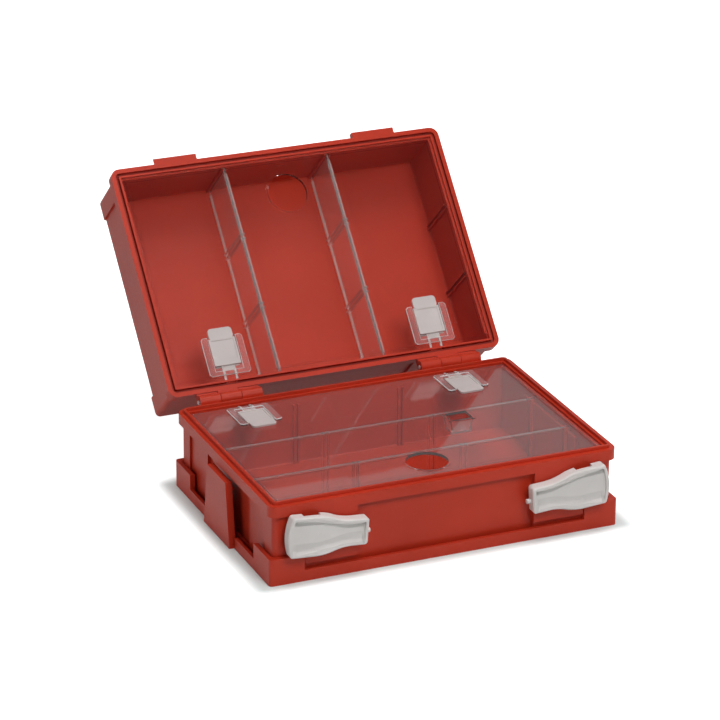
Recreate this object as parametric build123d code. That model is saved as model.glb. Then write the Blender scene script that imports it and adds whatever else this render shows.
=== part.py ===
from build123d import *
import math
import os

# First aid kit case in its wall bracket, lid open.
# Millimetres. The origin is the middle of the bracket's wall face, +Z points away from the wall,
# +X is to the right and +Y runs from the front of the case to its hinge.

# Case outline
case_w = 310.0            # width over the rim flange
case_d = 213.0            # depth over the rim flange
corner_r = 8.0            # plan radius of the flange corners
part_z = 69.0             # height of the parting plane above the wall face
lid_h = 61.0              # height of the lid above the parting plane
part_gap = 0.3            # gap left between the two rims when closed
open_angle = 132.5        # lid opening from closed

# Shell walls
flange_h = 9.6            # height of the rim flange on each half
flange_t = 2.2            # wall of the flange skirt
flange_web_t = 2.6        # thickness of the rim above the open channel of the flange
pad_inset = 3.9           # corner pads, measured in from the flange face
panel_inset = 5.7         # middle panels, measured in from the flange face
wall_t = 2.6              # shell wall
floor_t = 2.6             # shell floor
bottom_r = 3.0            # radius around the bottom edge of a shell
cavity_edge = 1.0         # bevel around the floor inside
pad_run_x = 75.0          # length of a corner pad along the front
pad_run_y = 22.0          # length of a corner pad along the side

# Rim section, measured in from the flange face
land_w = 4.3              # flat land outside the lip of the base
lip_w = 2.0               # raised lip of the base
lip_h = 2.7               # height of that lip above the parting plane
rim_w = 8.2               # whole width of the rim, up to the clear cover
groove_clear = 0.4        # room beside the lip in the lid's groove
groove_deep = 4.6         # depth of the lid's groove
seal_t = 1.6              # thickness of the seal cord in that groove

# Clear covers
cover_drop = 2.0          # outer face of a cover below the parting plane
cover_t = 2.0
cover_gap = 0.4           # room between a cover and the rim
cover_edge_gap = 0.2      # behind the rounded rear edge of a cover, which it turns on
cover_ledge_w = 1.7       # width of the ledge that carries the front and sides of a cover
cover_ledge_t = 2.0
hole_d = 36.0             # finger hole
hole_in_base = 40.5       # its middle, measured in from the front flange face
hole_in_lid = 42.5
bead_h = 0.6              # raised bead along a cover's edge and round its finger hole
bead_w = 1.6
bead_inset = 3.0
cup_w = 22.0              # small clear cup in the base cover
cup_d = 18.0
cup_h = 14.0
cup_t = 1.5
cup_in_x = 92.0           # its middle, measured in from the right flange face
cup_in_y = 97.5           # and from the rear flange face
cover_corner_cut = 0.5    # rear corners of a cover set in, to clear the rounded corners of the rim
snap_w = 9.0              # snap rib at the middle of a cover's front edge
snap_len = 2.4

# Slide bolts and their frames on the covers
bolt_in = 59.0            # bolt centre, measured in from the side flange face
bolt_travel = 5.0
frame_w = 38.0            # clear frame round a bolt
frame_len = 35.7
frame_in = 12.8           # its rear end, measured in from the rear flange face
frame_h = 1.75
frame_bevel = 0.6
frame_corner = 2.0
frame_bar = 4.4           # raised bar across the rear end of the frame
frame_step = 4.2          # lower step in front of that bar
frame_step_h = 0.9
frame_side_gap = 0.6      # between the frame's rails and the pad
pad_w = 24.0              # white pad that the finger pushes
pad_len = 24.5
pad_in = 22.0             # its rear end, measured in from the rear flange face
pad_t = 1.35
pad_rim = 1.8             # rim left round the dip in the pad
pad_dip = 0.5
grip_w = 22.0             # rounded lip at the front end of the pad
grip_len = 9.5
grip_r = 3.2
grip_lift = 0.2           # above the pad
stem_len = 8.0            # part of the bolt that passes through the cover
tongue_w = 12.0           # forked tongue of a bolt
prong_w = 1.8
tongue_t = 1.8
tongue_tip_in = 6.9       # end of the bolt's tongue, measured in from the rear flange face
bolt_clear = 0.25
foot_w = 22.0             # foot that holds a bolt under the cover
foot_t = 1.2

# Dividers and the rib pairs that hold them
divider_t = 1.8
divider_drop = 9.5        # outer edge of a divider below the parting plane
divider_clear = 0.3
divider_bar_h = 2.2       # thicker bar along both long edges of a divider
divider_bar_proud = 0.7
rib_t = 1.5
rib_proud = 2.6
rib_slot = 2.6            # room between the two ribs of a pair
cross_rib_proud = 1.8     # rib pairs on the dividers themselves

# Hinges
hinge_back = 7.8          # hinge axis behind the rear flange face
barrel_r = 5.5
hinge_in = 24.0           # outer end of a hinge block, measured in from the side flange face
hinge_len = 56.5
knuckle_count = 3
knuckle_gap = 0.4
hinge_pin_d = 3.4
pin_clear = 0.05          # radial running clearance
pin_proud = 0.9
stop_gap = 0.3            # between the open lid and the stop heels

# Front latches
latch_in = 60.0           # pivot, measured in from the side flange face
latch_drop = 28.4         # pivot below the parting plane
latch_back_gap = 0.4      # behind the lever, to the face of the bracket
latch_tilt = 4.0          # the open levers rest with their wide ends this many degrees up
latch_long = 48.3         # pivot to the wide rounded end
latch_short = 21.5        # pivot to the narrow end
latch_half_wide = 17.6
latch_half_narrow = 11.7
latch_swell_from = -8.0   # the sides swell from here
latch_swell_to = 24.0     # to here, along the lever from the pivot
latch_edge = 1.0          # bevel round its front face
latch_t = 9.0
latch_dish = 2.6          # depth of the hollow along the front face
latch_flank = 2.4         # steep side of that hollow
latch_flank_deep = 2.0    # depth at the foot of the steep side
latch_ridge = 2.8         # narrowest ridge left beside the hollow
hollow_from = 0.0         # the hollow widens from here
hollow_to = 38.0          # to here, later than the sides of the lever
latch_wall = 2.0
latch_pocket = 4.8        # hollow behind the lever
latch_lip_u = 35.1        # inner edge of the hooking lip, from the pivot
latch_notch_u = 20.0      # the skirt is open from here to the lip
hub_d = 11.0
hub_clear = 0.1
hub_collar = 3.0          # wider foot of the hub inside the lever
boss_d = 17.0
latch_pad_in = 16.0       # raised pad behind each latch, from the pivot inwards
latch_pad_out = 44.0      # and outwards
latch_pad_low = 5.0       # its underside above the bracket's low wall
washer_d = 18.0
washer_t = 1.8
screw_d = 3.2
screw_head_d = 7.5
screw_head_t = 1.8
screw_len = 9.0
screw_slot_w = 1.0
screw_slot_deep = 0.8
nub_d = 4.0               # small nub at the narrow end
nub_len = 3.4
nub_off = 1.7             # above the middle line of the lever
catch_clear = 0.5         # between the lip and the catch
catch_half = 21.0         # half length of a catch on the lid
catch_proud = 5.2         # catch in front of the lid flange
catch_lift = 0.6          # underside of the catch above the parting plane

# Carry handle in the lid front wall
handle_w = 116.0
handle_reach = 40.0
handle_bar = 12.0
handle_arm = 9.0
handle_t = 4.6
handle_z = 15.5           # pivot above the parting plane
handle_pin_d = 4.0
handle_lug_w = 7.0
handle_gap = 0.4

# Wall bracket
bracket_floor = 2.6
bracket_wall = 4.4        # wall of the corner blocks
low_wall_t = 3.0
low_wall_h = 10.0
corner_h = 23.4
corner_run_x = 30.6       # length of a corner block along the front
corner_run_y = 35.5       # length of a corner block along the side
seat_gap = 0.4            # bracket to case
tongue_out = 4.2          # side tongue outside the face of the bracket
tongue_deep = 5.9
tongue_top_w = 41.0
tongue_foot_w = 58.0
tongue_top_drop = 13.0    # top of a side tongue below the parting plane
tongue_wall = 2.4
nose_drop = 12.0          # underside of the nose below the top of the tongue
nose_h = 7.0
pocket_half = 47.0        # half length of the pocket in the side of the base
pocket_deep = 3.0
pocket_bottom = 8.0
pocket_top_drop = 15.5    # top of that pocket below the parting plane
screw_in_x = 35.0         # wall screw holes, measured in from the side flange faces
screw_in_y = 36.5         # and from the front and rear flange faces
wall_screw_d = 5.5
wall_screw_head_d = 11.0
wall_screw_seat = 1.2     # depth of the seat for its head

# Worked out from the above
half_w = case_w / 2
half_d = case_d / 2
base_z = bracket_floor                       # underside of the base
base_h = part_z - base_z                     # height of the base up to the parting plane
inner_inset = panel_inset + wall_t           # inner face of the shell walls
pocket_wall_x = half_w - inner_inset - pocket_deep   # inner face of the side pockets of the base
hinge_y = half_d + hinge_back
hinge_z = part_z
lip_in = land_w + lip_w
cover_inset = rim_w + cover_gap
cover_axis_y = half_d - rim_w - cover_edge_gap - cover_t / 2
cover_axis_z = -cover_drop - cover_t / 2     # below the parting plane
pad_x = half_w - pad_run_x
pad_y = half_d - pad_run_y
bolt_x = half_w - bolt_in
frame_back_y = half_d - frame_in
frame_front_y = frame_back_y - frame_len
pad_back_y = half_d - pad_in
pad_front_y = pad_back_y - pad_len
grip_front_y = pad_front_y - grip_len
tongue_tip_y = half_d - tongue_tip_in
cup_x = half_w - cup_in_x
cup_y = half_d - cup_in_y
divider_x = (half_w - inner_inset) / 3       # lid dividers, and rib pairs on the front and rear walls
divider_y = (half_d - inner_inset) / 3       # base dividers, and rib pairs on the side walls
hinge_x1 = half_w - hinge_in
hinge_x0 = hinge_x1 - hinge_len
latch_x = half_w - latch_in
latch_z = part_z - latch_drop
tongue_top_z = part_z - tongue_top_drop
nose_z = tongue_top_z - nose_drop
pocket_top = part_z - pocket_top_drop
bracket_x = half_w - pad_inset + seat_gap + bracket_wall
bracket_y = half_d - pad_inset + seat_gap + bracket_wall
latch_back = bracket_y + latch_back_gap      # plane of the lever's back, in front of the middle
hub_deep = latch_back - (half_d - inner_inset) + 0.3   # from there to the washer behind the wall
tongue_x = bracket_x + tongue_out


def block(x0, x1, y0, y1, z0, z1):
    """Box between two corners."""
    return Pos((x0 + x1) / 2, (y0 + y1) / 2, (z0 + z1) / 2) * Box(x1 - x0, y1 - y0, z1 - z0)


def plan(inset):
    """Rounded rectangle, set in from the flange outline."""
    radius = max(corner_r - inset, 1.2)
    return RectangleRounded(case_w - 2 * inset, case_d - 2 * inset, radius)


def slab(inset, z0, z1):
    """Prism of that outline between two heights."""
    return Pos(0, 0, z0) * extrude(plan(inset), amount=z1 - z0)


def tub(inset, z0, z1):
    """The same prism with its lower edge rounded."""
    body = slab(inset, z0, z1)
    return fillet(body.faces().sort_by(Axis.Z)[0].edges(), bottom_r)


def cavity_of(inset, z0, z1):
    """The same prism with its lower edge cut back, for the inside of a shell."""
    body = slab(inset, z0, z1)
    return chamfer(body.faces().sort_by(Axis.Z)[0].edges(), cavity_edge)


def four(shape):
    """A shape and its mirror images in the two middle planes."""
    pair = shape + mirror(shape, about=Plane.YZ)
    return pair + mirror(pair, about=Plane.XZ)


def two(shape):
    """A shape and its mirror image to the left."""
    return shape + mirror(shape, about=Plane.YZ)


def upward_cylinder(radius, height):
    """Upright cylinder that starts at z = 0."""
    return Cylinder(radius, height, align=(Align.CENTER, Align.CENTER, Align.MIN))


def rib_pair_walls(depth, wall_x):
    """Rib pairs on the four inner walls of a half, from the floor up to the dividers' edge."""
    low = -depth + floor_t - 0.5
    high = -divider_drop
    wall_y = half_d - inner_inset
    offset = (rib_slot + rib_t) / 2
    ribs = None
    for side in (-1, 1):
        x = divider_x + side * offset
        rib = block(x - rib_t / 2, x + rib_t / 2, wall_y - rib_proud, wall_y + 0.5, low, high)
        y = divider_y + side * offset
        rib_x = wall_x - rib_proud
        rib += block(rib_x, half_w - inner_inset + 0.5, y - rib_t / 2, y + rib_t / 2, low, high)
        ribs = four(rib) if ribs is None else ribs + four(rib)
    return ribs


def half_shell(depth, side_wall_x, web_t):
    """What the two halves share: walls, flange, corner pads, cavity, ledge and rib pairs.
    The parting plane is z = 0, the floor is down at -depth."""
    top = -part_gap / 2
    shell = tub(panel_inset, -depth, top)
    pads = tub(pad_inset, -depth, top - 1.0)
    corner = block(pad_x, half_w, pad_y, half_d, -depth, top)
    shell += pads & four(corner)
    flange = slab(0, -flange_h, top)
    flange -= slab(flange_t, -flange_h, -web_t)
    shell += flange
    cavity = cavity_of(inner_inset, -depth + floor_t, top + 1)
    shell -= cavity
    rim = slab(panel_inset, -flange_web_t - cover_drop, top) - slab(rim_w, -flange_h, top + 1)
    shell += rim
    ledge_top = -cover_drop - cover_t - 0.1
    ledge = slab(inner_inset - 0.5, ledge_top - cover_ledge_t, ledge_top)
    ledge -= slab(inner_inset + cover_ledge_w, -depth, top)
    ledge -= block(-half_w, half_w, cover_axis_y - 5, half_d, -depth, top)
    shell += ledge
    shell += rib_pair_walls(depth, side_wall_x)
    window = block(
        bolt_x - tongue_w / 2 - 0.5, bolt_x + tongue_w / 2 + 0.5,
        half_d - inner_inset - 2.5, tongue_tip_y + 0.6,
        cover_axis_z - 3.1, cover_axis_z + 1.4,
    )
    return shell - two(window)


def knuckle_runs(first):
    """Start and end of every second knuckle of a hinge block, from its inner end."""
    span = hinge_x1 - hinge_x0
    length = (span - (knuckle_count - 1) * knuckle_gap) / knuckle_count
    runs = []
    for index in range(first, knuckle_count, 2):
        start = hinge_x0 + index * (length + knuckle_gap)
        runs.append((start, start + length))
    return runs


def outline(*points):
    """Flat polygon, always drawn counter-clockwise."""
    following = points[1:] + points[:1]
    area = sum(a[0] * b[1] - b[0] * a[1] for a, b in zip(points, following))
    ordered = points if area > 0 else points[::-1]
    return Polygon(*ordered, align=None)


def along_x(face, start, length):
    """Prism along X of a profile drawn in Y and Z."""
    return Pos(start, 0, 0) * extrude(Plane.YZ * face, amount=length, dir=(1, 0, 0))


def knuckles(first, upward, with_heel):
    """Knuckles of one half, on both hinge blocks. upward is 1 for the lid, -1 for the base."""
    hinge_at = Pos(hinge_y, hinge_z)
    barrel = hinge_at * Circle(barrel_r)
    web_near = hinge_z + upward * part_gap
    web = outline(
        (half_d - 0.8, web_near),
        (hinge_y, web_near),
        (hinge_y, hinge_z + upward * barrel_r),
        (half_d - 0.8, hinge_z + upward * (flange_h - 0.2)),
    )
    profile = barrel + web
    if with_heel:
        lean = 180 - open_angle
        heel = Rectangle(hinge_back - stop_gap, 4.5, align=(Align.MIN, Align.CENTER))
        profile += hinge_at * Rot(0, 0, lean) * Pos(0, -2.9) * heel
    profile -= hinge_at * Circle(hinge_pin_d / 2 + pin_clear)
    body = None
    for start, end in knuckle_runs(first):
        piece = along_x(profile, start, end - start)
        body = piece if body is None else body + piece
    return two(body)


def opened(shape):
    """Turn a piece of the closed lid back to the open position."""
    return shape.rotate(Axis((0, hinge_y, hinge_z), (1, 0, 0)), -open_angle)


def in_lid(shape):
    """Place something drawn below the parting plane into the closed lid."""
    return Pos(0, 0, part_z) * mirror(shape, about=Plane.XY)


def make_base_shell():
    lip = slab(land_w, -1, lip_h) - slab(lip_in, -2, lip_h + 1)
    shell = half_shell(base_h, pocket_wall_x, flange_web_t) + lip
    low = pocket_bottom - part_z
    high = pocket_top - part_z
    bump = block(pocket_wall_x, half_w - inner_inset + 0.5, -pocket_half - wall_t, pocket_half + wall_t,
                 -base_h + floor_t - 0.5, high + wall_t)
    shell += two(bump)
    pocket = block(pocket_wall_x + wall_t, half_w, -pocket_half, pocket_half, low, high)
    shell -= two(pocket)
    pad_low = low_wall_h + latch_pad_low - part_z
    pad_x0 = latch_x - latch_pad_in
    pad_x1 = latch_x + latch_pad_out
    pad = block(pad_x0, pad_x1, -half_d, -half_d + panel_inset + 0.5, pad_low, -flange_h + 0.5)
    corner_x = bracket_x - corner_run_x - 0.8
    pad -= block(corner_x, half_w, -half_d - 1, -half_d + panel_inset, pad_low - 1, corner_h + 0.6 - part_z)
    shell += two(pad)
    boss_face = latch_back - 0.3
    boss = upward_cylinder(boss_d / 2, boss_face - half_d + inner_inset)
    boss = Plane((latch_x, -half_d + inner_inset, latch_z - part_z), z_dir=(0, -1, 0)) * boss
    hole = Cylinder(hub_d / 2 + hub_clear, 40)
    hole = Plane((latch_x, -half_d, latch_z - part_z), z_dir=(0, -1, 0)) * hole
    shell += two(boss)
    shell -= two(hole)
    shell = Pos(0, 0, part_z) * shell
    return shell + knuckles(0, -1, True)


def catch_profile():
    """Catch of the right latch, drawn in X and Z about the latch pivot."""
    low = part_z + catch_lift - latch_z
    high = latch_lip_u - catch_clear
    inner = Pos(-catch_half / 2, (low + high) / 2) * Rectangle(catch_half, high - low)
    outer = Pos(catch_half / 2, (low + high) / 2) * Rectangle(catch_half, high - low)
    return inner + (outer & Circle(high))


def make_lid_shell():
    groove = slab(land_w - groove_clear, -groove_deep, 1) - slab(lip_in + groove_clear, -20, 2)
    shell = in_lid(half_shell(lid_h, half_w - inner_inset, groove_deep + flange_t) - groove)
    catch_plane = Plane((latch_x, -half_d + 0.5, latch_z), x_dir=(1, 0, 0), z_dir=(0, -1, 0))
    catch = extrude(catch_plane * catch_profile(), amount=catch_proud + 0.5)
    shell += two(catch)
    pivot_y = -(half_d - panel_inset + handle_gap + handle_t / 2)
    pivot_z = part_z + handle_z
    lug_x = handle_w / 2 + handle_gap
    lug_r = handle_t / 2 + 0.3
    lug = Pos(pivot_y, pivot_z) * Circle(lug_r)
    lug += Pos(pivot_y + lug_r, pivot_z) * Rectangle(2 * lug_r, 2 * lug_r)
    lug -= Pos(pivot_y, pivot_z) * Circle(handle_pin_d / 2)
    shell += two(along_x(lug, lug_x, handle_lug_w))
    return opened(shell + knuckles(1, 1, False))


def make_seal():
    low = land_w - groove_clear + 0.2
    high = lip_in - 0.1
    ring = slab(low, -groove_deep, -groove_deep + seal_t) - slab(high, -20, 0)
    return opened(in_lid(ring))


def make_hinge_pin(side):
    length = hinge_x1 - hinge_x0 + 2 * pin_proud
    pin = along_x(Pos(hinge_y, hinge_z) * Circle(hinge_pin_d / 2), hinge_x0 - pin_proud, length)
    return pin if side > 0 else mirror(pin, about=Plane.YZ)


def make_cover(hole_y, with_cup):
    """Clear cover of one half, drawn below the parting plane."""
    outer = -cover_drop
    inner = outer - cover_t
    cover = slab(cover_inset, inner, outer)
    cover -= block(-half_w, half_w, cover_axis_y, half_d, inner - 1, outer + 1)
    edge_x = half_w - cover_inset - cover_corner_cut
    cover -= two(block(edge_x, half_w, cover_axis_y - 2 * cover_t, half_d, inner - 1, outer + 1))
    round_edge = Plane.YZ * (Pos(cover_axis_y, cover_axis_z) * Circle(cover_t / 2))
    cover += Pos(-edge_x, 0, 0) * extrude(round_edge, amount=2 * edge_x, dir=(1, 0, 0))
    edge = cover_inset + bead_inset
    cover += slab(edge, outer, outer + bead_h) - slab(edge + bead_w, outer - 1, outer + 1)
    hole_at = Pos(0, hole_y, 0)
    ring = Pos(0, 0, outer) * extrude(Circle(hole_d / 2 + bead_w) - Circle(hole_d / 2), amount=bead_h)
    cover += hole_at * ring
    cover -= hole_at * Pos(0, 0, outer) * Cylinder(hole_d / 2, 3 * cover_t)
    snap_y = -half_d + edge + 1.5 * bead_w
    cover += block(-snap_w / 2, snap_w / 2, snap_y, snap_y + snap_len, outer, outer + bead_h)
    cover += two(Pos(bolt_x, 0, 0) * bolt_frame())
    cover -= two(Pos(bolt_x, 0, 0) * bolt_slot())
    if with_cup:
        cover = add_cup(cover, outer)
    return cover


def bolt_frame():
    """Raised frame beside and behind a slide bolt."""
    outer = -cover_drop
    x_in = pad_w / 2 + frame_side_gap
    x_out = frame_w / 2
    bar_y = frame_back_y - frame_bar
    frame = block(-x_out, x_out, frame_front_y, frame_back_y, outer, outer + frame_h)
    frame = chamfer(frame.edges().filter_by(Axis.Z), frame_corner)
    frame -= block(-x_in, x_in, frame_front_y - 1, bar_y, outer - 1, outer + frame_h + 1)
    frame = chamfer(frame.edges().group_by(Axis.Z)[-1], frame_bevel)
    step = block(-x_in, x_in, bar_y - frame_step, bar_y, outer, outer + frame_step_h)
    return frame + step


def bolt_slot():
    """Notch in the rear edge of a cover that the bolt's tongue runs in."""
    outer = -cover_drop
    front = pad_back_y - stem_len - bolt_travel
    x = tongue_w / 2 + bolt_clear
    return block(-x, x, front, half_d, outer - cover_t - 1, outer + 0.01)


def add_cup(cover, outer):
    """Small clear cup, open upwards and tapering down through the cover."""
    at = Pos(cup_x, cup_y, outer)
    body = at * extrude(RectangleRounded(cup_w, cup_d, 2.5), amount=-cup_h, taper=9)
    hollow_shape = RectangleRounded(cup_w - 2 * cup_t, cup_d - 2 * cup_t, 1.5)
    hollow = at * extrude(hollow_shape, amount=-(cup_h - cup_t), taper=9)
    collar = at * extrude(RectangleRounded(cup_w + 3, cup_d + 3, 3), amount=bead_h)
    opening = at * extrude(hollow_shape, amount=bead_h + 1)
    return cover + body + collar - hollow - opening


def make_bolt():
    """White slide bolt about its own middle line, drawn below the parting plane."""
    outer = -cover_drop
    pad_low = outer + 0.1
    pad_high = pad_low + pad_t
    pad_x = pad_w / 2
    pad = block(-pad_x, pad_x, pad_front_y, pad_back_y, pad_low, pad_high)
    dip_x = pad_x - pad_rim
    dip = block(-dip_x, dip_x, pad_front_y + pad_rim, pad_back_y - pad_rim, pad_high - pad_dip, pad_high + 1)
    grip_y = (grip_front_y + pad_front_y + 1) / 2
    grip = RectangleRounded(grip_w, pad_front_y + 1 - grip_front_y, grip_r)
    grip = Pos(0, grip_y, pad_low) * extrude(grip, amount=pad_t + grip_lift)
    web_x = tongue_w / 2
    web_low = outer - tongue_t
    stem_y = pad_back_y - stem_len
    web = block(-web_x, web_x, stem_y, tongue_tip_y, web_low, outer - 0.02)
    web = fillet(web.edges().filter_by(Axis.Z).group_by(Axis.Y)[-1], 1.5)
    fork_x = web_x - prong_w
    web -= block(-fork_x, fork_x, frame_back_y - frame_bar, half_d, web_low - 1, outer)
    stem = block(-web_x, web_x, stem_y, pad_back_y, outer - 0.5, pad_low + 0.5)
    foot_top = outer - cover_t - 0.15
    stalk = block(-web_x, web_x, stem_y, pad_back_y + 1, foot_top - 0.5, web_low + 0.5)
    foot = block(-foot_w / 2, foot_w / 2, stem_y, pad_back_y + 1, foot_top - foot_t, foot_top)
    return pad - dip + grip + web + stem + stalk + foot


def make_divider(length, height, crossings):
    """Clear divider standing on the floor: plate along X, ribs for cross dividers on both faces."""
    plate = block(-length / 2, length / 2, -divider_t / 2, divider_t / 2, 0, height)
    low_corners = plate.edges().filter_by(Axis.Y).group_by(Axis.Z)[0]
    plate = chamfer(low_corners, bottom_r)
    bar_x = length / 2 - bottom_r - rib_proud
    bar_y = divider_t / 2 + divider_bar_proud
    for low in (0, height - divider_bar_h):
        plate += block(-bar_x, bar_x, -bar_y, bar_y, low, low + divider_bar_h)
    offset = (rib_slot + rib_t) / 2
    reach = divider_t / 2 + cross_rib_proud
    for centre in crossings:
        for side in (-1, 1):
            x = centre + side * offset
            plate += block(x - rib_t / 2, x + rib_t / 2, -reach, reach, 0, height)
    return plate


def place_dividers():
    """Two across the base, two from front to rear in the lid."""
    pieces = {}
    base_floor = base_z + floor_t
    base_len = 2 * pocket_wall_x - 2 * divider_clear
    base_top = part_z - divider_drop
    across = make_divider(base_len, base_top - base_floor, (-divider_x, divider_x))
    pieces["base_divider_front"] = Pos(0, -divider_y, base_floor) * across
    pieces["base_divider_rear"] = Pos(0, divider_y, base_floor) * across
    lid_len = case_d - 2 * inner_inset - 2 * divider_clear
    lid_height = lid_h - floor_t - divider_drop
    along = Rot(0, 0, 90) * make_divider(lid_len, lid_height, (-divider_y, divider_y))
    for name, x in (("lid_divider_left", -divider_x), ("lid_divider_right", divider_x)):
        pieces[name] = opened(in_lid(Pos(x, 0, -lid_h + floor_t) * along))
    return pieces


def swell_side(shrink):
    """Upper side of a lever where it swells: two equal arcs that meet halfway."""
    half_run = (latch_swell_to - latch_swell_from) / 2
    half_rise = (latch_half_wide - latch_half_narrow) / 2
    middle = (latch_swell_from + half_run, latch_half_narrow + half_rise - shrink)
    first = TangentArc((latch_swell_from, latch_half_narrow - shrink), middle, tangent=(1, 0))
    end = (latch_swell_to, latch_half_wide - shrink)
    second = TangentArc(middle, end, tangent=first % 1)
    return first, second


def latch_outline(shrink):
    """Lever outline in its own plane: straight narrow end, swelling sides, rounded wide end."""
    tail = -latch_short + shrink
    tip_r = latch_long - shrink
    wide = latch_half_wide - shrink
    narrow = latch_half_narrow - shrink
    corner_u = math.sqrt(tip_r ** 2 - wide ** 2)
    first, second = swell_side(shrink)
    upper = [
        Line((tail, narrow), (latch_swell_from, narrow)),
        first,
        second,
        Line((latch_swell_to, wide), (corner_u, wide)),
    ]
    lower = [mirror(edge, about=Plane.XZ) for edge in upper]
    ends = [
        Line((tail, -narrow), (tail, narrow)),
        ThreePointArc((corner_u, wide), (tip_r, 0), (corner_u, -wide)),
    ]
    edges = upper + lower + ends
    return make_face(edges)


def latch_hollow():
    """Long shallow hollow of the front face, following the sides of the lever."""
    sections = []
    narrow = latch_half_narrow - latch_ridge
    wide = latch_half_wide - latch_ridge
    stations = (
        (-latch_short, narrow),
        (hollow_from, narrow),
        ((hollow_from + hollow_to) / 2, (narrow + wide) / 2),
        (hollow_to, wide),
        (latch_long, wide),
    )
    for u, half in stations:
        plane = Plane((u, 0, latch_t), x_dir=(0, 1, 0), z_dir=(1, 0, 0))
        foot = half - latch_flank
        floor = ThreePointArc((-foot, -latch_flank_deep), (0, -latch_dish), (foot, -latch_flank_deep))
        right = [(foot, -latch_flank_deep), (half, 0), (half, 2.0)]
        left = [(-x, z) for x, z in reversed(right)]
        above = Polyline(*right, *left)
        sections.append(plane * make_face([floor, *above.edges()]))
    return loft(sections) & extrude(latch_outline(latch_ridge), amount=2 * latch_t)


def make_latch():
    """Right lever in its own frame: X to the wide end, Z out of the case, back at z = 0."""
    lever = extrude(latch_outline(0), amount=latch_t)
    upright = lever.edges().filter_by(Axis.Z)
    lever = fillet(upright, 2.5)
    lever = chamfer(lever.edges().group_by(Axis.Z)[-1], latch_edge)
    lever -= latch_hollow()
    hollow = extrude(latch_outline(latch_wall), amount=latch_pocket)
    lip = block(latch_lip_u, latch_long + 5, -30, 30, -1, latch_t)
    lever -= hollow - lip
    lever -= block(latch_notch_u, latch_lip_u, -30, 30, -1, latch_pocket)
    lever += upward_cylinder(hub_d / 2 + hub_collar, latch_pocket + 0.5)
    hub = Pos(0, 0, -hub_deep) * upward_cylinder(hub_d / 2, hub_deep + 1)
    bore = Pos(0, 0, -hub_deep) * upward_cylinder(screw_d / 2 + 0.05, screw_len + 1)
    lever = lever + hub - bore
    nub = Plane((-latch_short + 1, -nub_off, nub_d / 2 + 0.4), z_dir=(-1, 0, 0))
    return lever + nub * upward_cylinder(nub_d / 2, nub_len + 1)


def make_latch_washer():
    washer = Cylinder(washer_d / 2, washer_t) - Cylinder(screw_d / 2 + 0.1, washer_t)
    return Pos(0, 0, -hub_deep - washer_t / 2) * washer


def make_latch_screw():
    low = -hub_deep - washer_t
    shank = Pos(0, 0, low) * upward_cylinder(screw_d / 2, washer_t + screw_len)
    head = Pos(0, 0, low - screw_head_t) * upward_cylinder(screw_head_d / 2, screw_head_t)
    head = chamfer(head.edges().sort_by(Axis.Z)[0], 0.6)
    slot = Pos(0, 0, low - screw_head_t) * Box(screw_head_d, screw_slot_w, 2 * screw_slot_deep)
    return shank + head - slot


def on_front(shape, side):
    """Set a latch piece on the base front, right for side 1 and mirrored for side -1."""
    plane = Plane((latch_x, -latch_back, latch_z), x_dir=(1, 0, 0), z_dir=(0, -1, 0))
    placed = plane.location * Rot(0, 0, latch_tilt) * shape
    return placed if side > 0 else mirror(placed, about=Plane.YZ)


def make_handle():
    """Folded handle in the closed lid: two arms and a bar with a bowed inner edge."""
    pivot_y = -(half_d - panel_inset + handle_gap + handle_t / 2)
    pivot_z = part_z + handle_z
    half = handle_w / 2
    outer = RectangleRounded(handle_w, handle_reach + handle_t, 9)
    outer = Pos(0, (handle_reach - handle_t) / 2 + handle_t / 2) * outer
    square_foot = Pos(0, 6) * Rectangle(handle_w, 12 + handle_t)
    gap_w = handle_w - 2 * handle_arm
    gap_h = handle_reach - handle_bar
    gap = Pos(0, gap_h / 2 - 5) * RectangleRounded(gap_w, gap_h + 10, 6)
    face = outer + square_foot - gap
    face -= Pos(0, -handle_t) * Rectangle(handle_w + 2, 2 * handle_t)
    plane = Plane((0, pivot_y + handle_t / 2, pivot_z), x_dir=(1, 0, 0), z_dir=(0, -1, 0))
    body = extrude(plane * face, amount=handle_t)
    for side in (-1, 1):
        x0 = side * (half - handle_arm / 2) - handle_arm / 2
        body += along_x(Pos(pivot_y, pivot_z) * Circle(handle_t / 2), x0, handle_arm)
    bore = Pos(pivot_y, pivot_z) * Circle(handle_pin_d / 2 + pin_clear)
    body -= along_x(bore, -half - 1, handle_w + 2)
    return opened(body)


def make_handle_pin(side):
    pivot_y = -(half_d - panel_inset + handle_gap + handle_t / 2)
    pivot_z = part_z + handle_z
    start = handle_w / 2 - handle_arm + 0.5
    length = handle_arm + handle_gap + handle_lug_w - 0.5
    pin = along_x(Pos(pivot_y, pivot_z) * Circle(handle_pin_d / 2), start, length)
    return opened(pin if side > 0 else mirror(pin, about=Plane.YZ))


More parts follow.
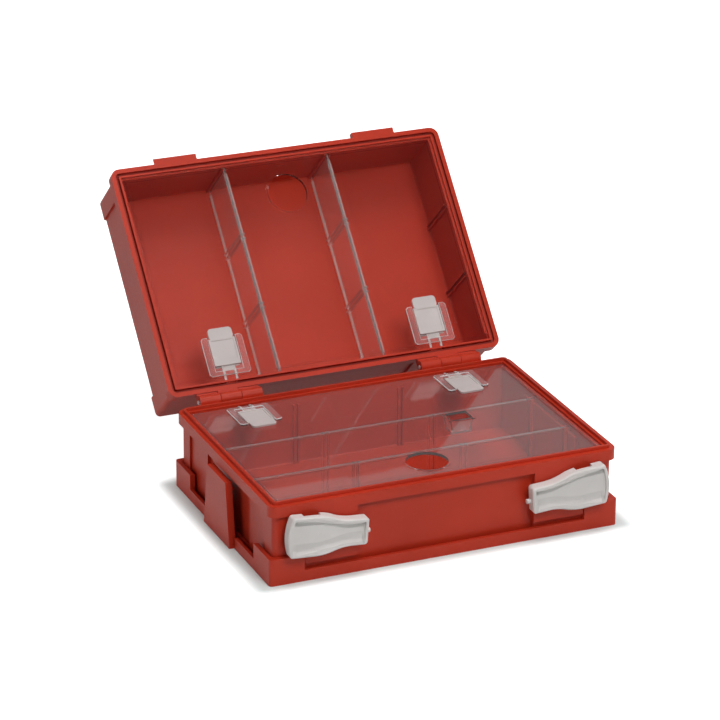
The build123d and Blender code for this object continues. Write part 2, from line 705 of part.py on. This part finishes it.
def side_tongue():
    """Upright tongue on the right side: a channel with its open side towards the case."""
    foot = tongue_foot_w / 2
    top = tongue_top_w / 2
    inner_x = tongue_x - tongue_deep
    face = outline((-foot, 0), (foot, 0), (top, tongue_top_z), (-top, tongue_top_z))
    hollow_face = outline(
        (-foot + tongue_wall, bracket_floor),
        (foot - tongue_wall, bracket_floor),
        (top - tongue_wall, tongue_top_z - tongue_wall),
        (-top + tongue_wall, tongue_top_z - tongue_wall),
    )
    body = along_x(face, inner_x, tongue_deep)
    body -= along_x(hollow_face, inner_x - 1, tongue_deep - tongue_wall + 1)
    tip_x = half_w - panel_inset + 0.4
    nose_face = outline(
        (tongue_x - tongue_wall + 0.5, nose_z),
        (inner_x, nose_z),
        (tip_x, nose_z + 2.0),
        (tip_x, nose_z + 3.5),
        (inner_x, nose_z + nose_h),
        (tongue_x - tongue_wall + 0.5, nose_z + nose_h),
    )
    nose_w = tongue_top_w - 2 * tongue_wall - 8
    nose = extrude(Plane.XZ * nose_face, amount=nose_w, dir=(0, 1, 0))
    return body + Pos(0, -nose_w / 2, 0) * nose


def make_bracket():
    floor = extrude(RectangleRounded(2 * bracket_x, 2 * bracket_y, 3), amount=bracket_floor)
    tall_outer = extrude(RectangleRounded(2 * bracket_x, 2 * bracket_y, 3), amount=corner_h)
    inner_w = 2 * (bracket_x - bracket_wall)
    inner_d = 2 * (bracket_y - bracket_wall)
    tall_inner = extrude(RectangleRounded(inner_w, inner_d, 3.5), amount=corner_h + 1)
    ring = tall_outer - tall_inner
    corner_x = bracket_x - corner_run_x
    corner_y = bracket_y - corner_run_y
    corner = block(corner_x, bracket_x + 1, corner_y, bracket_y + 1, 0, corner_h)
    tall = ring & four(corner)
    low_inner = RectangleRounded(2 * (bracket_x - low_wall_t), 2 * (bracket_y - low_wall_t), 2)
    low = extrude(RectangleRounded(2 * bracket_x, 2 * bracket_y, 3), amount=low_wall_h)
    low -= extrude(low_inner, amount=low_wall_h + 1)
    gate_half = tongue_foot_w / 2 + 1.2
    low -= two(block(bracket_x - 6, bracket_x + 1, -gate_half, gate_half, bracket_floor, low_wall_h + 1))
    ear_half = tongue_foot_w / 2
    ear = block(bracket_x - 5, tongue_x, -ear_half, ear_half, 0, bracket_floor)
    bracket = floor + tall + low + two(ear) + two(side_tongue())
    for sx in (-1, 1):
        for sy in (-1, 1):
            at = Pos(sx * (half_w - screw_in_x), sy * (half_d - screw_in_y), 0)
            bracket -= at * Cylinder(wall_screw_d / 2, 20)
            seat_z = bracket_floor - wall_screw_seat
            bracket -= at * Pos(0, 0, seat_z) * upward_cylinder(wall_screw_head_d / 2, 2 * bracket_floor)
    return bracket


def build_all():
    parts = {}
    parts["wall_bracket"] = make_bracket()
    parts["base_shell"] = make_base_shell()
    parts["lid_shell"] = make_lid_shell()
    parts["lid_seal"] = make_seal()
    for name, side in (("left", -1), ("right", 1)):
        parts["hinge_pin_" + name] = make_hinge_pin(side)
        parts["front_latch_" + name] = on_front(make_latch(), side)
        parts["latch_washer_" + name] = on_front(make_latch_washer(), side)
        parts["latch_screw_" + name] = on_front(make_latch_screw(), side)
        parts["base_bolt_" + name] = Pos(side * bolt_x, 0, part_z) * make_bolt()
        parts["lid_bolt_" + name] = opened(in_lid(Pos(side * bolt_x, 0, 0) * make_bolt()))
        parts["handle_pin_" + name] = make_handle_pin(side)
    parts["base_cover"] = Pos(0, 0, part_z) * make_cover(-half_d + hole_in_base, True)
    parts["lid_cover"] = opened(in_lid(make_cover(-half_d + hole_in_lid, False)))
    parts["carry_handle"] = make_handle()
    parts.update(place_dividers())
    return parts


os.makedirs("parts", exist_ok=True)
for node, shape in build_all().items():
    export_step(shape, "parts/" + node + ".step")
    print(node, round(shape.volume / 1000, 2), "cm3")
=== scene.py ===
import math

import bpy
from mathutils import Matrix, Vector

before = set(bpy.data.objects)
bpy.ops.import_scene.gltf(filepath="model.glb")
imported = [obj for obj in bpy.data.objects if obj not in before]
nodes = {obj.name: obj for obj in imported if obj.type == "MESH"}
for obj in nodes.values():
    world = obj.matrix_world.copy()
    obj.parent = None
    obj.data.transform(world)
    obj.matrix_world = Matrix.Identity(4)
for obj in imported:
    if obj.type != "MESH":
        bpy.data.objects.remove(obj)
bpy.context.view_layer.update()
print("frame loaded:", len(nodes), "nodes")

mm = 0.001


# Helpers for node trees

def newMaterial(name):
    material = bpy.data.materials.new(name)
    material.use_nodes = True
    tree = material.node_tree
    tree.nodes.clear()
    return material, tree


def addNode(tree, kind, **settings):
    node = tree.nodes.new(kind)
    for key, value in settings.items():
        setattr(node, key, value)
    return node


def compute(tree, operation, *values):
    node = addNode(tree, "ShaderNodeMath", operation=operation)
    for socket, value in zip(node.inputs, values):
        if isinstance(value, (int, float)):
            socket.default_value = value
        else:
            tree.links.new(value, socket)
    return node.outputs[0]


def mapRange(tree, value, before, after, curve="LINEAR"):
    node = addNode(tree, "ShaderNodeMapRange", interpolation_type=curve)
    node.inputs["From Min"].default_value, node.inputs["From Max"].default_value = before
    node.inputs["To Min"].default_value, node.inputs["To Max"].default_value = after
    tree.links.new(value, node.inputs["Value"])
    return node.outputs["Result"]


noiseSpan = (0.3, 0.7)    # where nearly all values of a noise lie


def fromNoise(tree, noise, low, high):
    return mapRange(tree, noise, noiseSpan, (low, high))


# Straight lines from point to point, level outside them
def throughPoints(tree, value, points):
    total = points[0][1]
    for (start, low), (end, high) in zip(points, points[1:]):
        rise = mapRange(tree, value, (start, end), (0.0, high - low))
        total = compute(tree, "ADD", rise, total)
    return total


def objectCoords(tree):
    return addNode(tree, "ShaderNodeTexCoord").outputs["Object"]


def separate(tree, vector):
    node = addNode(tree, "ShaderNodeSeparateXYZ")
    tree.links.new(vector, node.inputs[0])
    return node.outputs


def objectNoise(tree, scale, detail, stretch=None):
    noise = addNode(tree, "ShaderNodeTexNoise")
    noise.inputs["Scale"].default_value = scale
    noise.inputs["Detail"].default_value = detail
    place = objectCoords(tree)
    if stretch is not None:
        mapping = addNode(tree, "ShaderNodeMapping")
        mapping.inputs["Scale"].default_value = stretch
        tree.links.new(place, mapping.inputs["Vector"])
        place = mapping.outputs["Vector"]
    tree.links.new(place, noise.inputs["Vector"])
    return noise.outputs["Fac"]


def blendColour(tree, share, first, second):
    node = addNode(tree, "ShaderNodeMix", data_type="RGBA")
    ends = [socket for socket in node.inputs if socket.type == "RGBA"]
    ends[0].default_value = (*first, 1)
    ends[1].default_value = (*second, 1)
    tree.links.new(share, node.inputs[0])
    return [socket for socket in node.outputs if socket.type == "RGBA"][0]


def bumpFrom(tree, height, strength, distance, below=None):
    node = addNode(tree, "ShaderNodeBump")
    node.inputs["Strength"].default_value = strength
    node.inputs["Distance"].default_value = distance
    tree.links.new(height, node.inputs["Height"])
    if below is not None:
        tree.links.new(below, node.inputs["Normal"])
    return node.outputs["Normal"]


def outputTo(tree, shader):
    out = addNode(tree, "ShaderNodeOutputMaterial")
    tree.links.new(shader, out.inputs["Surface"])


# Moulded plastic and rubber: slow patches of colour, a fine grain and faint waves

redPlastic = {
    "deep": (0.47, 0.030, 0.011),
    "bright": (0.56, 0.038, 0.014),
    "roughness": (0.34, 0.44),
    "specular": 0.3,
    "patchScale": 9.0,
    "grainScale": 900.0,
    "grainBump": 0.10,
    "grainDepth": 0.06 * mm,
    "waveScale": 26.0,
    "waveBump": 0.05,
    "waveDepth": 0.6 * mm,
}

greyPlastic = dict(
    redPlastic,
    deep=(0.68, 0.632, 0.612),
    bright=(0.76, 0.71, 0.69),
    roughness=(0.36, 0.46),
    patchScale=30.0,
    grainScale=1200.0,
    waveScale=60.0,
    waveBump=0.04,
)

whitePlastic = dict(greyPlastic, deep=(0.56, 0.50, 0.485), bright=(0.64, 0.575, 0.56))

# The seal's dark red is partly its own rubber and partly painted shade of the groove it sits in
sealRubberAndShade = dict(
    redPlastic,
    deep=(0.26, 0.022, 0.012),
    bright=(0.32, 0.028, 0.015),
    roughness=(0.62, 0.75),
    patchScale=40.0,
    grainScale=1500.0,
    grainBump=0.3,
    waveScale=80.0,
)


def makeMoulded(name, look, carve=None):
    material, tree = newMaterial(name)
    shader = addNode(tree, "ShaderNodeBsdfPrincipled")
    shader.inputs["Specular IOR Level"].default_value = look["specular"]
    patches = objectNoise(tree, look["patchScale"], detail=4.0)
    share = fromNoise(tree, patches, 0.0, 1.0)
    colour = blendColour(tree, share, look["deep"], look["bright"])
    tree.links.new(colour, shader.inputs["Base Color"])
    grain = objectNoise(tree, look["grainScale"], detail=2.0)
    tree.links.new(fromNoise(tree, grain, *look["roughness"]), shader.inputs["Roughness"])
    waves = objectNoise(tree, look["waveScale"], detail=1.0)
    shape = None if carve is None else bumpFrom(tree, carve(tree), strength=1.0, distance=mm)
    wavy = bumpFrom(tree, waves, look["waveBump"], look["waveDepth"], below=shape)
    normal = bumpFrom(tree, grain, look["grainBump"], look["grainDepth"], below=wavy)
    tree.links.new(normal, shader.inputs["Normal"])
    outputTo(tree, shader.outputs["BSDF"])
    return material


# Soft crest above and broad lit flank below on the levers, in millimetres from their edges
leverShape = {
    "pivot": (95.0, 40.6),       # sideways from the middle, and height
    "tilt": 4.0,                 # degrees
    "halfWidth": (11.7, 17.6),   # narrow end, wide end
    "swell": (-8.0, 24.0),       # where it widens, along the lever from the pivot
    "upper": [(0.0, 0.0), (2.8, 0.6), (4.5, 2.4), (5.2, 2.3), (8.0, 0.0)],
    "lower": [(0.0, 0.0), (0.5, 0.3), (2.8, -1.5), (5.2, -1.9), (11.5, 0.0)],
    "ends": [(-18.5, 0.0), (-16.5, 1.0), (41.0, 1.0), (44.0, 0.0)],
}


def carveLever(tree):
    look = leverShape
    place = separate(tree, objectCoords(tree))
    sideways = compute(tree, "MULTIPLY", compute(tree, "ABSOLUTE", place["X"]), 1 / mm)
    sideways = compute(tree, "SUBTRACT", sideways, look["pivot"][0])
    upwards = compute(tree, "MULTIPLY", place["Z"], 1 / mm)
    upwards = compute(tree, "SUBTRACT", upwards, look["pivot"][1])
    tilt = math.radians(look["tilt"])

    def turned(operation, first, second):
        level = compute(tree, "MULTIPLY", first, math.cos(tilt))
        slope = compute(tree, "MULTIPLY", second, math.sin(tilt))
        return compute(tree, operation, level, slope)

    along = turned("ADD", sideways, upwards)
    across = turned("SUBTRACT", upwards, sideways)
    halfWidth = mapRange(tree, along, look["swell"], look["halfWidth"], "SMOOTHSTEP")
    inwards = compute(tree, "SUBTRACT", halfWidth, compute(tree, "ABSOLUTE", across))
    sides = []
    for side, test in (("upper", "GREATER_THAN"), ("lower", "LESS_THAN")):
        height = throughPoints(tree, inwards, look[side])
        sides.append(compute(tree, "MULTIPLY", height, compute(tree, test, across, 0.0)))
    both = compute(tree, "ADD", *sides)
    return compute(tree, "MULTIPLY", both, throughPoints(tree, along, look["ends"]))


shellRed = makeMoulded("shellRed", redPlastic)
bracketRed = makeMoulded("bracketRed", dict(redPlastic, patchScale=7.0))
handleRed = makeMoulded("handleRed", dict(redPlastic, patchScale=20.0))
latchGrey = makeMoulded("latchGrey", greyPlastic, carve=carveLever)
boltWhite = makeMoulded("boltWhite", whitePlastic)
sealDarkWithPaintedShade = makeMoulded("sealDarkWithPaintedShade", sealRubberAndShade)


# Clear moulded plastic: it bends light where it is thick, and lets the lamps' light through

clearPlastic = {
    "tint": (0.99, 0.985, 0.98),
    "through": (0.95, 0.94, 0.93),
    "roughness": 0.02,
    "ior": 1.45,
    "waveScale": 18.0,
    "waveBump": 0.03,
    "waveDepth": 0.5 * mm,
    "hazeAndHighlightColour": (0.88, 0.82, 0.82),
}

# Out of the base, and into the open lid from its parting plane
outOfBase = (0.0, 0.0, 1.0)
lidOpening = math.radians(132.5)
intoLid = (0.0, math.sin(lidOpening), math.cos(lidOpening))
hingeBack, hingeHeight = 114.3 * mm, 69.0 * mm
lidPlane = hingeBack * intoLid[1] + hingeHeight * intoLid[2]

# Painted highlights: bands of added milky haze along the raised frames and the divider edges,
# where bright edge lines show: direction, start, end, added haze
baseCoverLook = dict(clearPlastic, ior=1.36, haze=0.032, highlightBands=[
    (outOfBase, 67.7 * mm, 69.0 * mm, 0.12),
    (outOfBase, 68.17 * mm, 68.74 * mm, 0.50),
])
lidCoverLook = dict(clearPlastic, haze=0.003, highlightBands=[
    (intoLid, lidPlane + 0.1 * mm, lidPlane + 1.3 * mm, 0.12),
    (intoLid, lidPlane + 0.26 * mm, lidPlane + 0.83 * mm, 0.50),
])
baseDividerLook = dict(clearPlastic, haze=0.006, highlightBands=[
    (outOfBase, 58.9 * mm, 59.7 * mm, 0.16),
])
lidDividerLook = dict(clearPlastic, haze=0.08, highlightBands=[
    (intoLid, lidPlane + 9.3 * mm, lidPlane + 11.9 * mm, 0.14),
    (intoLid, lidPlane + 56.0 * mm, lidPlane + 58.6 * mm, 0.45),
])


def highlightBandAlong(tree, direction, start, end):
    along = addNode(tree, "ShaderNodeVectorMath", operation="DOT_PRODUCT")
    along.inputs[1].default_value = direction
    tree.links.new(objectCoords(tree), along.inputs[0])
    fromMiddle = compute(tree, "SUBTRACT", along.outputs["Value"], (start + end) / 2)
    return compute(tree, "LESS_THAN", compute(tree, "ABSOLUTE", fromMiddle), (end - start) / 2)


def makeClear(name, look):
    material, tree = newMaterial(name)
    shader = addNode(tree, "ShaderNodeBsdfPrincipled")
    shader.inputs["Base Color"].default_value = (*look["tint"], 1)
    shader.inputs["Roughness"].default_value = look["roughness"]
    shader.inputs["IOR"].default_value = look["ior"]
    shader.inputs["Transmission Weight"].default_value = 1.0
    waves = objectNoise(tree, look["waveScale"], detail=2.0)
    normal = bumpFrom(tree, waves, look["waveBump"], look["waveDepth"])
    tree.links.new(normal, shader.inputs["Normal"])
    passing = addNode(tree, "ShaderNodeBsdfTransparent")
    passing.inputs["Color"].default_value = (*look["through"], 1)
    hazeAndHighlight = addNode(tree, "ShaderNodeBsdfDiffuse")
    hazeAndHighlight.inputs["Color"].default_value = (*look["hazeAndHighlightColour"], 1)
    amount = look["haze"]
    # The bands added on top of the plain haze are painted highlights along the frame and divider
    # edges
    for direction, start, end, added in look["highlightBands"]:
        paintedHighlight = compute(tree, "MULTIPLY", highlightBandAlong(tree, direction, start, end), added)
        amount = compute(tree, "ADD", paintedHighlight, amount)
    hazedAndHighlighted = addNode(tree, "ShaderNodeMixShader")
    tree.links.new(amount, hazedAndHighlighted.inputs[0])
    tree.links.new(shader.outputs["BSDF"], hazedAndHighlighted.inputs[1])
    tree.links.new(hazeAndHighlight.outputs["BSDF"], hazedAndHighlighted.inputs[2])
    # Shadows and bounced light pass straight through
    path = addNode(tree, "ShaderNodeLightPath").outputs
    unlit = compute(tree, "MAXIMUM", path["Is Shadow Ray"], path["Is Diffuse Ray"])
    mix = addNode(tree, "ShaderNodeMixShader")
    tree.links.new(unlit, mix.inputs[0])
    tree.links.new(hazedAndHighlighted.outputs["Shader"], mix.inputs[1])
    tree.links.new(passing.outputs["BSDF"], mix.inputs[2])
    outputTo(tree, mix.outputs["Shader"])
    return material


baseClear = makeClear("clearBaseCover", baseCoverLook)
lidClear = makeClear("clearLidCover", lidCoverLook)
baseDivider = makeClear("clearBaseDivider", baseDividerLook)
lidDivider = makeClear("clearLidDivider", lidDividerLook)


# Drawn steel for pins and screws, with fine lines along them

drawnSteel = {
    "deep": (0.62, 0.62, 0.63),
    "bright": (0.82, 0.82, 0.83),
    "roughness": (0.22, 0.38),
    "lineStretch": (60.0, 2500.0, 2500.0),
    "lineBump": 0.08,
    "lineDepth": 0.03 * mm,
}


def makeSteel(name, look):
    material, tree = newMaterial(name)
    shader = addNode(tree, "ShaderNodeBsdfPrincipled")
    shader.inputs["Metallic"].default_value = 1.0
    lines = objectNoise(tree, 1.0, detail=3.0, stretch=look["lineStretch"])
    colour = blendColour(tree, lines, look["deep"], look["bright"])
    tree.links.new(colour, shader.inputs["Base Color"])
    tree.links.new(fromNoise(tree, lines, *look["roughness"]), shader.inputs["Roughness"])
    normal = bumpFrom(tree, lines, look["lineBump"], look["lineDepth"])
    tree.links.new(normal, shader.inputs["Normal"])
    outputTo(tree, shader.outputs["BSDF"])
    return material


steel = makeSteel("drawnSteel", drawnSteel)


# Start of a node's name, its finish, and how far its edges are rounded in millimetres
pieces = {
    "wall_bracket": (bracketRed, 0.5),
    "base_shell": (shellRed, 0.45),
    "lid_shell": (shellRed, 0.45),
    "lid_seal": (sealDarkWithPaintedShade, None),
    "carry_handle": (handleRed, 0.6),
    "front_latch": (latchGrey, 0.5),
    "latch_washer": (boltWhite, None),
    "latch_screw": (steel, None),
    "hinge_pin": (steel, None),
    "handle_pin": (steel, None),
    "base_cover": (baseClear, 0.25),
    "lid_cover": (lidClear, 0.25),
    "base_bolt": (boltWhite, 0.25),
    "lid_bolt": (boltWhite, 0.25),
    "base_divider": (baseDivider, 0.2),
    "lid_divider": (lidDivider, 0.2),
}

rounding = {
    "weldWithin": 0.002 * mm,
    "segments": 2,
    "sharperThan": math.radians(35),
}


def roundEdges(node, width):
    weld = node.modifiers.new("weld", "WELD")
    weld.merge_threshold = rounding["weldWithin"]
    bevel = node.modifiers.new("edges", "BEVEL")
    bevel.width = width
    bevel.segments = rounding["segments"]
    bevel.limit_method = "ANGLE"
    bevel.angle_limit = rounding["sharperThan"]
    bevel.harden_normals = False
    bevel.use_clamp_overlap = True
    normals = node.modifiers.new("normals", "WEIGHTED_NORMAL")
    normals.keep_sharp = True


for name, node in nodes.items():
    finish, width = next(look for start, look in pieces.items() if name.startswith(start))
    if not node.material_slots:
        node.data.materials.append(None)
    for slot in node.material_slots:
        slot.material = finish
    if width is not None:
        roundEdges(node, width * mm)
print("finishes and rounded edges on", len(nodes), "nodes")


# Floor, light and camera

stage = {
    "floorSize": 14.0,
    "floorDrop": 0.02 * mm,
    "floorColour": (0.70, 0.76, 0.75),
    "glowAndPaintedShadow": (0.08, 0.95),    # what the camera sees added: dimmed at the bracket's edge as a painted contact shadow, full away from it
    "paintedShadowReach": 0.022,      # metres from that edge to the full glow, the width of the painted shadow
    "glossGlow": 0.22,       # share of it that reflections see
    "wallLight": 0.68,       # backdrop, up to the height below
    "wallTop": 0.42,
    "wallFade": 0.15,
    "frontShare": 0.15,      # how much of that is left in front of the case
    "frontFade": (-0.6, 0.1),
    "skyLight": 0.04,
}


def makeFloor():
    mesh = bpy.data.meshes.new("floor")
    half = stage["floorSize"] / 2
    corners = [(-half, -half, 0), (half, -half, 0), (half, half, 0), (-half, half, 0)]
    mesh.from_pydata(corners, [], [(0, 1, 2, 3)])
    floor = bpy.data.objects.new("floor", mesh)
    bpy.context.scene.collection.objects.link(floor)
    floor.location.z = -stage["floorDrop"]
    material, tree = newMaterial("paleFloor")
    shader = addNode(tree, "ShaderNodeBsdfDiffuse")
    shader.inputs["Color"].default_value = (*stage["floorColour"], 1)
    place = separate(tree, objectCoords(tree))
    foot = nodes["wall_bracket"].bound_box
    squares = []
    for index, axis in enumerate("XY"):
        edge = max(corner[index] for corner in foot)
        past = compute(tree, "SUBTRACT", compute(tree, "ABSOLUTE", place[axis]), edge)
        past = compute(tree, "MAXIMUM", past, 0.0)
        squares.append(compute(tree, "MULTIPLY", past, past))
    away = compute(tree, "SQRT", compute(tree, "ADD", *squares))
    # The glow fades out near the bracket's foot, painting a contact shadow on the floor
    amount = mapRange(tree, away, (0.0, stage["paintedShadowReach"]), stage["glowAndPaintedShadow"], "SMOOTHSTEP")
    path = addNode(tree, "ShaderNodeLightPath").outputs
    gloss = compute(tree, "MULTIPLY", path["Is Glossy Ray"], stage["glossGlow"])
    seen = compute(tree, "MAXIMUM", path["Is Camera Ray"], gloss)
    glowAndPaintedShadow = addNode(tree, "ShaderNodeEmission")
    tree.links.new(compute(tree, "MULTIPLY", seen, amount), glowAndPaintedShadow.inputs["Strength"])
    both = addNode(tree, "ShaderNodeAddShader")
    tree.links.new(shader.outputs["BSDF"], both.inputs[0])
    tree.links.new(glowAndPaintedShadow.outputs["Emission"], both.inputs[1])
    outputTo(tree, both.outputs["Shader"])
    mesh.materials.append(material)


def makeWorld():
    world = bpy.data.worlds.new("studio")
    bpy.context.scene.world = world
    world.use_nodes = True
    tree = world.node_tree
    tree.nodes.clear()
    place = separate(tree, addNode(tree, "ShaderNodeTexCoord").outputs["Generated"])
    top, fade = stage["wallTop"], stage["wallFade"]
    levels = (stage["wallLight"], stage["skyLight"])
    height = mapRange(tree, place["Z"], (top - fade, top + fade), levels)
    behind = mapRange(tree, place["Y"], stage["frontFade"], (stage["frontShare"], 1.0))
    backdrop = compute(tree, "MULTIPLY", height, behind)
    # The camera sees plain white, everything else the backdrop
    path = addNode(tree, "ShaderNodeLightPath").outputs
    strength = addNode(tree, "ShaderNodeMix", data_type="FLOAT")
    tree.links.new(path["Is Camera Ray"], strength.inputs[0])
    tree.links.new(backdrop, strength.inputs[2])
    strength.inputs[3].default_value = 1.0
    light = addNode(tree, "ShaderNodeBackground")
    light.inputs["Color"].default_value = (1, 1, 1, 1)
    tree.links.new(strength.outputs[0], light.inputs["Strength"])
    out = addNode(tree, "ShaderNodeOutputWorld")
    tree.links.new(light.outputs["Background"], out.inputs["Surface"])


softBoxes = {
    "key": {"place": (0.05, -1.75, 1.85), "size": (1.0, 0.8), "power": 29.0},
    "overhead": {"place": (0.1, 0.0, 2.4), "size": (1.3, 1.0), "power": 24.0},
    "left": {"place": (-2.2, -0.4, 1.0), "size": (0.8, 0.8), "power": 3.5},
    "right": {"place": (2.1, -0.3, 1.1), "size": (0.8, 1.0), "power": 4.0},
}
lampsAimAt = Vector((0, 0.05, 0.1))


def makeLamp(name, look):
    data = bpy.data.lights.new(name, "AREA")
    data.shape = "RECTANGLE"
    data.size, data.size_y = look["size"]
    data.energy = look["power"]
    lamp = bpy.data.objects.new(name, data)
    lamp.location = look["place"]
    aim = lampsAimAt - lamp.location
    lamp.rotation_euler = aim.to_track_quat("-Z", "Y").to_euler()
    bpy.context.scene.collection.objects.link(lamp)


view = {
    "target": (0.0, 0.0, 0.07848),
    "azimuth": -23.505,
    "elevation": 22.685,
    "roll": 0.498,
    "distance": 3.0537,
    "right": -0.02892,
    "up": 0.04911,
    "sensorWidth": 36.0,
    "focalShare": 3656.9 / 720,    # focal length over the width of the picture
}


def makeCamera():
    azimuth = math.radians(view["azimuth"])
    elevation = math.radians(view["elevation"])
    roll = math.radians(view["roll"])
    level = math.cos(elevation)
    back = Vector((math.sin(azimuth) * level, -math.cos(azimuth) * level, math.sin(elevation)))
    right = Vector((0, 0, 1)).cross(back).normalized()
    up = back.cross(right)
    rolledRight = math.cos(roll) * right + math.sin(roll) * up
    rolledUp = -math.sin(roll) * right + math.cos(roll) * up
    place = Vector(view["target"]) + back * view["distance"]
    place += rolledRight * view["right"] + rolledUp * view["up"]
    data = bpy.data.cameras.new("camera")
    data.sensor_width = view["sensorWidth"]
    data.lens = view["focalShare"] * view["sensorWidth"]
    camera = bpy.data.objects.new("camera", data)
    turn = Matrix((rolledRight, rolledUp, back)).transposed()
    camera.matrix_world = Matrix.Translation(place) @ turn.to_4x4()
    bpy.context.scene.collection.objects.link(camera)
    bpy.context.scene.camera = camera


makeFloor()
makeWorld()
for name, look in softBoxes.items():
    makeLamp(name, look)
makeCamera()
bpy.context.scene.view_settings.view_transform = "Standard"
print("floor, light and camera set")
